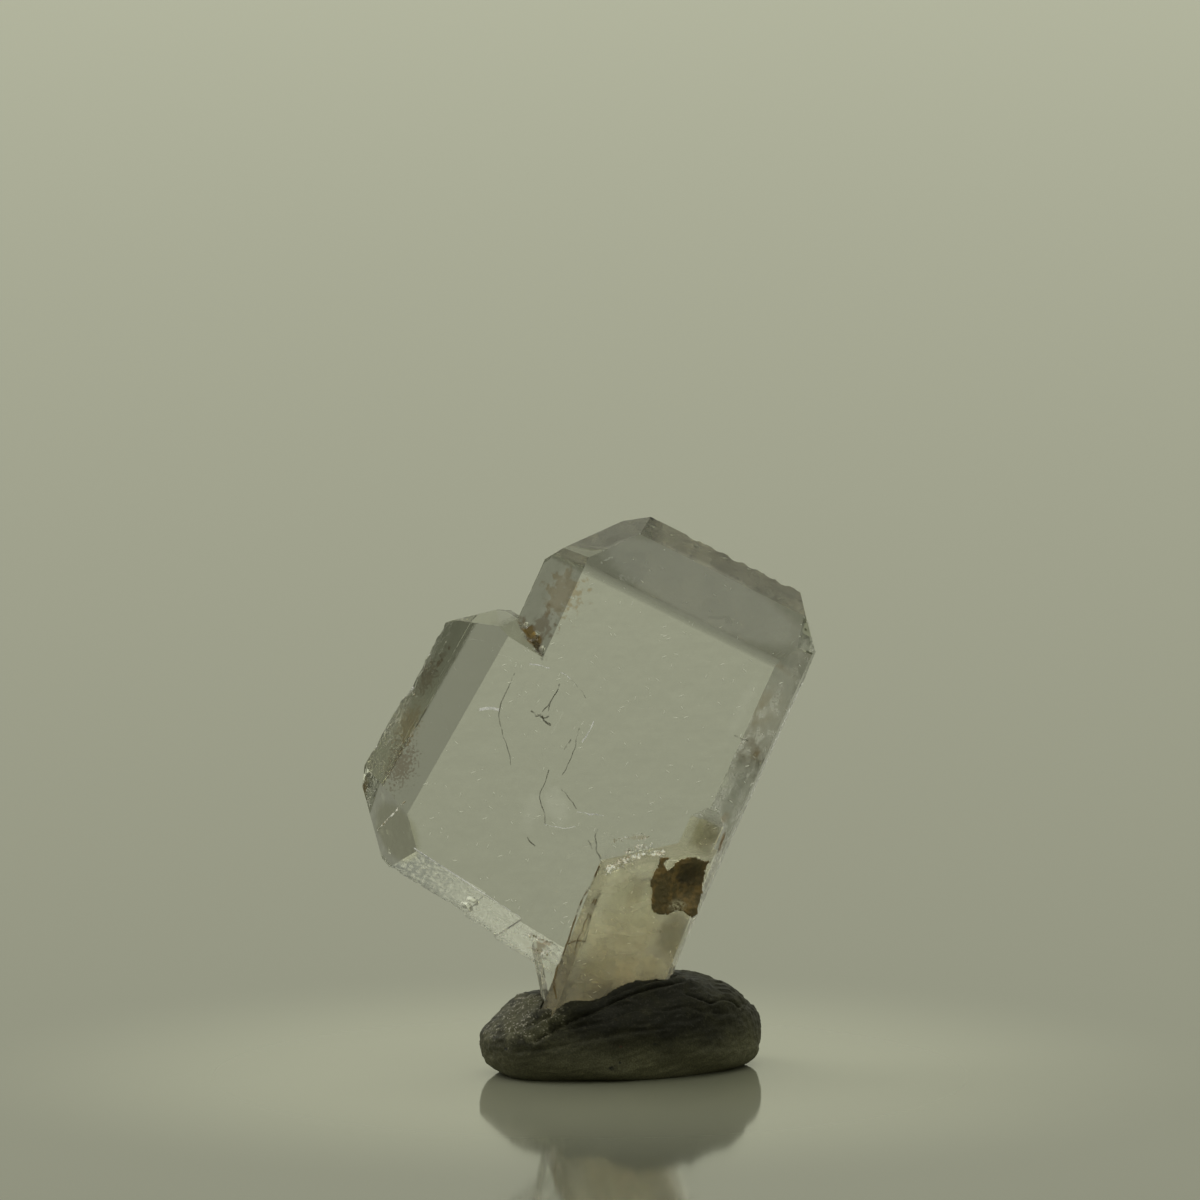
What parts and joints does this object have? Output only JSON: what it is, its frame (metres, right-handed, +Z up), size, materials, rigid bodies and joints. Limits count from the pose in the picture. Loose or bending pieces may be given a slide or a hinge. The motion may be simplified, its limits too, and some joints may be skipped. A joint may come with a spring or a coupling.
{
  "type": "japan law twin quartz crystal in mineral putty",
  "caption": "Thumbnail Japan law quartz twin: a clear heart-shaped plate with a re-entrant notch, standing in a lump of dark grey mineral putty.",
  "frame": {"origin": "on the ground under the middle of the bounding box", "axes": "+Z up; the plate of the twin is parallel to the XZ plane and its front face looks along -Y; +X to the right as seen from the front"},
  "size_m": [0.0168, 0.0064, 0.0195],
  "materials": {
    "quartz": "colourless rock crystal with a faint grey-green cast, flat natural faces, milky and iron-stained at the foot",
    "putty": "dull kneaded putty, nearly black on top and olive grey underneath, with fine grit"
  },
  "bodies": {
    "root": {"twin_crystal": "quartz", "putty": "putty"}
  },
  "joints": []
}
